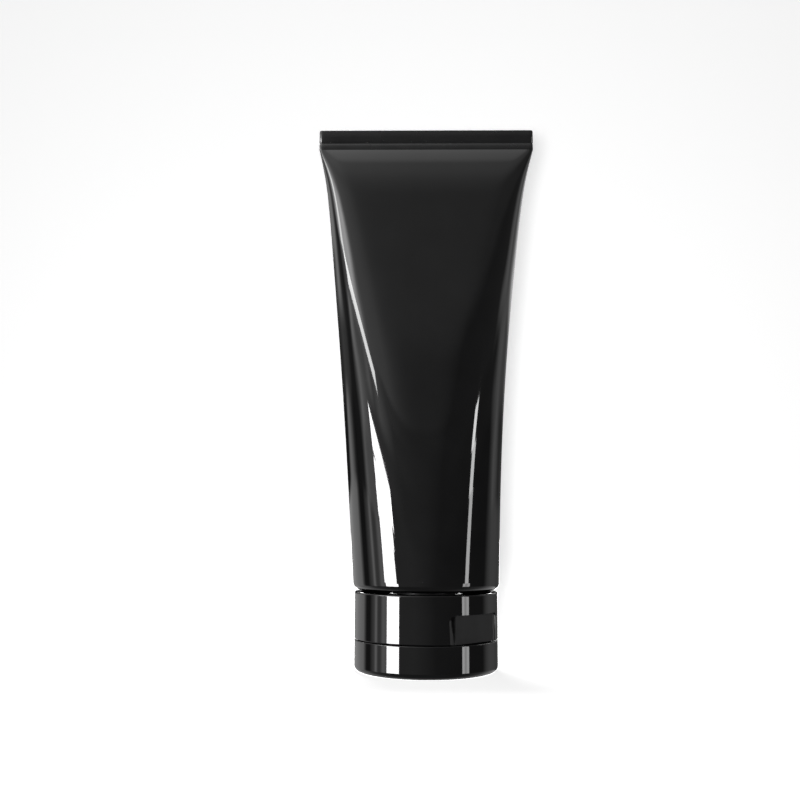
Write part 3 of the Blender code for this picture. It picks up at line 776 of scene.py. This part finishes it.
def make_film(name, offset, width, line_z, materials):
    """The thin film that joins a panel to the base or the lid."""
    overlap = 0.35 * MM
    reach = STRAP_THICKNESS / 2 + STRAP_GAP + overlap
    steps, columns = 12, 4
    rows = [line_z - BASE_LINE.z - reach * (2 * i / steps - 1) for i in range(steps + 1)]
    half = FILM_THICKNESS / 2
    outline = [(-half, z) for z in rows] + [(half, z) for z in reversed(rows)]
    place = strap_place(offset)
    points = []
    for c in range(columns + 1):
        y = width * (c / columns - 0.5)
        points += [tuple(place @ Vector((x, y, z))) for x, z in outline]
    obj = loft(name, points, len(outline), [materials["strap"]], quads=True)
    obj.data.set_sharp_from_angle(angle=radians(60))
    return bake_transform(obj)


def make_hinge(materials):
    """Three panels side by side, each with a film to the base and one to the lid."""
    shift = CENTRE_PANEL_WIDTH / 2 + PANEL_GAP + SIDE_PANEL_WIDTH / 2
    panels = [("centre", 0.0, CENTRE_PANEL_WIDTH),
              ("left", -shift, SIDE_PANEL_WIDTH),
              ("right", shift, SIDE_PANEL_WIDTH)]
    for side, offset, width in panels:
        film_width = width - 0.3 * MM
        make_strap(side, offset, width, materials)
        make_film("base_film_" + side, offset, film_width, BASE_LINE.z,
                  materials)
        make_film("lid_film_" + side, offset, film_width, LID_LINE.z,
                  materials)


# ---------------------------------------------------------------- stage, lights, camera

CAMERA_PLACE = (-0.0038, -0.3326, 0.0472)
CAMERA_LENS = 42.9
CAMERA_YAW, CAMERA_PITCH, CAMERA_ROLL = 0.92, 7.73, 0.229

# The sweep: its extent, its own glow, the wall's distance and the cove below the wall
STAGE_FRONT = -2.5
STAGE_HALF_WIDTH = 2.0
STAGE_HEIGHT = 1.5
STAGE_GLOW = 0.75
WALL_DISTANCE = 0.09
COVE_RADIUS = 0.05
COVE_STEPS = 12

LIGHT_DISTANCE = 8.0
LIGHT_HEIGHT = 0.09
FRONT_LAMP_PLACE = (-0.020, -0.333, 0.055)
TOWARDS_SUN = (-14, 52, 190)

# What a camera ray sees past the sweep, and what every ray gets
SEEN_WHITE = 1.05
AMBIENT = 0.02
# Brighter steps overhead: the heights between which each comes on, and how much it adds
OVERHEAD = [(0.7, 0.92, 0.3), (0.92, 0.98, 0.8)]
# Surroundings that only show in reflections, in layers from the ground up: the
# heights between which each layer takes over from the one below, and its
# (azimuth, brightness) bands, with the front at 0 and the left negative
SURROUNDINGS = [
    (-1.0, -1.0, [(-180, 0.9), (-115, 0.7), (-95, 0.3), (-60, 0.15), (60, 0.1), (100, 0.3), (125, 0.8),
                  (180, 0.9)]),
    (-0.3, -0.24, [(-180, 0.25), (-148, 0.7), (-118, 1.1), (-113, 0.45), (-109, 0.05), (-100, 0.05),
                   (-90, 0.7), (-86, 1.95), (-82, 0.55), (-77, 0.55), (-72, 1.6), (-66, 1.45), (-60, 0.3),
                   (-20, 0.3), (0, 0.2), (15, 0.1), (100, 0.05), (110, 0.35), (118, 0.4), (146, 0.1),
                   (180, 0.15)]),
    (0.0, 0.024, [(-180, 0.0), (-143, 0.0), (-137, 0.35), (-131, 0.85), (-126, 0.9), (-113, 0.15),
                  (-107, 0.05), (-92, 0.1), (-89, 0.5), (-84, 1.55), (-79, 1.15), (-70, 1.15), (-60, 0.3),
                  (-20, 0.3), (0, 0.2), (15, 0.1), (100, 0.05), (118, 0.55), (132, 0.15), (140, 0.05),
                  (160, 0.1), (180, 0.0)]),
    (0.08, 0.125, [(-180, 0.0), (-145, 0.05), (-128, 0.25), (-113, 0.3), (-104, 0.1), (-93, 0.1),
                   (-88, 0.6), (-82, 2.05), (-76, 1.45), (-66, 0.95), (-58, 0.5), (-35, 0.4), (-20, 0.25),
                   (0, 0.2), (15, 0.1), (98, 0.1), (111, 0.55), (120, 0.5), (130, 0.25), (142, 0.15),
                   (155, 0.25), (180, 0.05)]),
    (0.16, 0.21, [(-180, 0.0), (-150, 0.1), (-139, 0.3), (-125, 1.15), (-118, 1.1), (-108, 0.2),
                  (-96, 0.1), (-91, 0.5), (-86, 2.25), (-81, 2.05), (-75, 1.05), (-66, 0.95), (-58, 1.55),
                  (-52, 0.75), (-44, 1.15), (-24, 0.35), (0, 0.2), (12, 0.1), (88, 0.15), (98, 0.75),
                  (106, 0.85), (118, 0.4), (130, 0.65), (145, 1.25), (180, 0.2)]),
    (0.235, 0.262, [(-180, 0.1), (-150, 0.4), (-130, 1.0), (-119, 1.25), (-107, 0.25), (-95, 0.1),
                    (-90, 0.6), (-80, 1.4), (-52, 1.35), (-30, 0.5), (0, 0.2), (12, 0.1), (88, 0.15),
                    (98, 0.7), (108, 0.8), (120, 0.4), (133, 0.95), (150, 1.15), (180, 0.25)]),
    (0.285, 0.315, [(-180, 0.1), (-118, 1.0), (-98, 0.5), (-90, 3.0), (-84, 5.5), (-62, 6.25),
                    (-55, 3.65), (-50, 1.6), (-44, 1.0), (-20, 0.8), (-10, 0.5), (0, 0.25), (15, 0.1),
                    (85, 0.15), (100, 0.6), (140, 0.35), (180, 0.15)]),
    (0.4, 0.52, [(-180, 0.1), (-90, 1.7), (-70, 2.85), (-50, 1.15), (-20, 0.75), (-10, 0.5), (0, 0.35),
                 (20, 0.25), (100, 0.2), (180, 0.05)]),
]


def make_stage():
    """A pale sweep: floor, cove and wall, that glows itself, and is clear from behind."""
    material = bpy.data.materials.new("sweep_white")
    material.use_nodes = True
    shader = material.node_tree.nodes["Principled BSDF"]
    shader.inputs["Base Color"].default_value = (0.9, 0.9, 0.9, 1)
    shader.inputs["Roughness"].default_value = 1.0
    shader.inputs["Specular IOR Level"].default_value = 0.0
    shader.inputs["Emission Color"].default_value = (1, 1, 1, 1)
    shader.inputs["Emission Strength"].default_value = STAGE_GLOW
    tree = material.node_tree
    one_sided = node(tree, "ShaderNodeMixShader")
    tree.links.new(node(tree, "ShaderNodeNewGeometry").outputs["Backfacing"], one_sided.inputs[0])
    tree.links.new(shader.outputs[0], one_sided.inputs[1])
    tree.links.new(node(tree, "ShaderNodeBsdfTransparent").outputs[0], one_sided.inputs[2])
    tree.links.new(one_sided.outputs[0], tree.nodes["Material Output"].inputs["Surface"])
    floor_z = LID_LOW.z - 0.05 * MM
    line = [(STAGE_FRONT, floor_z)]
    for i in range(COVE_STEPS + 1):
        angle = radians(-90 + 90 * i / COVE_STEPS)
        line.append((WALL_DISTANCE - COVE_RADIUS + COVE_RADIUS * cos(angle),
                     floor_z + COVE_RADIUS + COVE_RADIUS * sin(angle)))
    line.append((WALL_DISTANCE, STAGE_HEIGHT))
    points = [(x, y, z) for y, z in line for x in (-STAGE_HALF_WIDTH, STAGE_HALF_WIDTH)]
    faces = [(2 * i, 2 * i + 1, 2 * i + 3, 2 * i + 2) for i in range(len(line) - 1)]
    sweep = mesh_object("sweep", points, faces, [material])
    sweep.visible_glossy = False
    sweep.visible_diffuse = False
    sweep.visible_shadow = False


def add_light(name, kind, glossy, diffuse):
    """A light that the camera doesn't see, for reflections, for diffuse shading or for both."""
    data = bpy.data.lights.new(name, kind)
    obj = bpy.data.objects.new(name, data)
    bpy.context.scene.collection.objects.link(obj)
    obj.visible_camera = False
    obj.visible_glossy = glossy
    obj.visible_diffuse = diffuse
    obj.rotation_mode = "QUATERNION"
    return obj


def panel(name, azimuths, elevations, radiance):
    """A far upright light panel that only shows in reflections, between two
    azimuths (0 is the front, negative is the left) and two elevations."""
    light = add_light(name, "AREA", True, False)
    middle = radians(sum(azimuths) / 2)
    low, high = [LIGHT_DISTANCE * np.tan(radians(e)) for e in elevations]
    width = 2 * LIGHT_DISTANCE * np.tan(radians(abs(azimuths[1] - azimuths[0])) / 2)
    away = Vector((sin(middle), -cos(middle), 0))
    light.location = away * LIGHT_DISTANCE + Vector((0, 0, LIGHT_HEIGHT + (low + high) / 2))
    light.rotation_quaternion = away.to_track_quat("Z", "Y")
    light.data.shape = "RECTANGLE"
    light.data.size = width
    light.data.size_y = high - low
    light.data.energy = radiance * pi * width * (high - low)


def bar(name, start, end, height, radiance):
    """A slanted light bar, like a panel, between two (azimuth, elevation) points."""
    light = add_light(name, "AREA", True, False)
    ends = []
    for azimuth, elevation in (start, end):
        a, e = radians(azimuth), radians(elevation)
        ends.append(LIGHT_DISTANCE * Vector((sin(a) * cos(e), -cos(a) * cos(e), sin(e))))
    middle = (ends[0] + ends[1]) / 2
    along = (ends[1] - ends[0]).normalized()
    across = middle.normalized().cross(along)
    turn = Matrix((along, across, along.cross(across))).transposed()
    light.location = middle + Vector((0, 0, LIGHT_HEIGHT))
    light.rotation_quaternion = turn.to_quaternion()
    light.data.shape = "RECTANGLE"
    light.data.size = (ends[1] - ends[0]).length
    light.data.size_y = LIGHT_DISTANCE * radians(height)
    light.data.energy = radiance * pi * light.data.size * light.data.size_y


def make_lights():
    """The strips that the film and the cap reflect, then two lamps for the diffuse light and shadows."""
    panel("key_low", (-64.4, -43.2), (-15, -3.5), 28)
    panel("key", (-66.4, -45.6), (-3.5, 1.0), 28)
    panel("key_middle", (-67.6, -44.2), (1.0, 3.3), 28)
    panel("key_upper", (-67.0, -42.6), (3.3, 5.2), 28)
    bar("key_top", (-66.8, 7.4), (-41.4, 4.3), 3.4, 28)
    bar("upper_edge", (-80, 17.2), (-42.5, 14.8), 2.2, 15)
    panel("upper_side", (-84, -76), (18.2, 25), 7)
    panel("upper_side_top", (-82, -74), (25, 31), 1.5)
    panel("right_edge_outer", (66, 70.5), (-15, -2.5), 6)
    panel("right_edge_inner", (58, 62), (-15, -2.5), 6.5)
    panel("right_edge_middle", (62, 66), (-15, -2.5), 4.5)
    panel("right_body", (61.2, 67.4), (-2.5, 4.5), 8)
    panel("right_upper", (60, 66.3), (4.5, 7.5), 11)
    panel("right_top", (58.3, 63.8), (7.5, 10.7), 15)

    panel("back", (169, 191), (-26, -1), 6)
    panel("back_left", (-146, -141), (27, 50), 6)
    panel("back_right", (141, 146), (27, 50), 6)

    front = add_light("front_lamp", "AREA", False, True)
    front.location = FRONT_LAMP_PLACE
    front.rotation_quaternion = Vector((0, -1, 0)).to_track_quat("Z", "Y")
    front.data.shape = "DISK"
    front.data.size = 0.032
    front.data.energy = 0.65

    above = add_light("above", "SUN", False, True)
    above.rotation_quaternion = Vector(TOWARDS_SUN).to_track_quat("Z", "Y")
    above.data.energy = 1.1
    above.data.angle = radians(11)


def make_world():
    """Dim surroundings for the reflections, as bands by azimuth that vary with height."""
    world = bpy.data.worlds.new("studio")
    bpy.context.scene.world = world
    world.use_nodes = True
    tree = world.node_tree
    links = tree.links
    direction = node(tree, "ShaderNodeTexCoord").outputs["Generated"]
    split = node(tree, "ShaderNodeSeparateXYZ")
    links.new(direction, split.inputs[0])

    def math(operation, first, second=None):
        made = node(tree, "ShaderNodeMath", operation=operation)
        for socket, value in zip(made.inputs, (first, second)):
            if isinstance(value, (int, float)):
                socket.default_value = value
            elif value is not None:
                links.new(value, socket)
        return made.outputs[0]

    def step(value, low, high, from_value, to_value):
        made = node(tree, "ShaderNodeMapRange", interpolation_type="SMOOTHSTEP")
        for socket, number in zip(made.inputs[1:5], (low, high, from_value, to_value)):
            socket.default_value = number
        links.new(value, made.inputs[0])
        return made.outputs[0]

    def bands(stops):
        ramp = node(tree, "ShaderNodeValToRGB")
        elements = ramp.color_ramp.elements
        elements.remove(elements[1])
        elements[0].position = 0
        for i, (azimuth, level) in enumerate(stops):
            element = elements[0] if i == 0 else elements.new(azimuth / 360 + 0.5)
            element.position = azimuth / 360 + 0.5
            element.color = (level, level, level, 1)
        turn = math("ARCTAN2", split.outputs["X"], math("MULTIPLY", split.outputs["Y"], -1.0))
        links.new(math("ADD", math("DIVIDE", turn, 2 * pi), 0.5), ramp.inputs[0])
        return ramp.outputs["Color"]

    height = split.outputs["Z"]
    level = bands(SURROUNDINGS[0][2])
    for low, high, stops in SURROUNDINGS[1:]:
        mix = node(tree, "ShaderNodeMix", data_type="RGBA")
        links.new(step(height, low, high, 0.0, 1.0), mix.inputs[0])
        links.new(level, mix.inputs[MIX_A])
        links.new(bands(stops), mix.inputs[MIX_B])
        level = mix.outputs[MIX_RESULT]
    for low, high, extra in OVERHEAD:
        level = math("ADD", level, step(height, low, high, 0.0, extra))

    rays = node(tree, "ShaderNodeLightPath")
    background = tree.nodes["Background"]
    background.inputs["Color"].default_value = (1, 1, 1, 1)
    shown = math("MULTIPLY", rays.outputs["Is Camera Ray"], SEEN_WHITE)
    glossy = math("MULTIPLY", rays.outputs["Is Glossy Ray"], level)
    links.new(math("ADD", math("ADD", shown, glossy), AMBIENT), background.inputs["Strength"])


def make_camera():
    """A camera in front, a little below the tube's middle, that looks slightly up."""
    data = bpy.data.cameras.new("camera")
    data.sensor_width = 36.0
    data.lens = CAMERA_LENS
    camera = bpy.data.objects.new("camera", data)
    bpy.context.scene.collection.objects.link(camera)
    yaw = Matrix.Rotation(radians(CAMERA_YAW), 4, "Z")
    pitch = Matrix.Rotation(radians(90 + CAMERA_PITCH), 4, "X")
    roll = Matrix.Rotation(radians(CAMERA_ROLL), 4, "Z")
    camera.matrix_world = Matrix.Translation(CAMERA_PLACE) @ yaw @ pitch @ roll
    bpy.context.scene.camera = camera


def build():
    bpy.context.scene.view_settings.view_transform = "Standard"
    make_camera()
    materials = make_materials()
    make_sleeve(materials)
    make_cream(materials)
    make_shoulder(materials)
    make_seal(materials)
    make_cap_base(materials)
    make_cap_lid(materials)
    make_hinge(materials)
    make_stage()
    make_lights()
    make_world()


build()
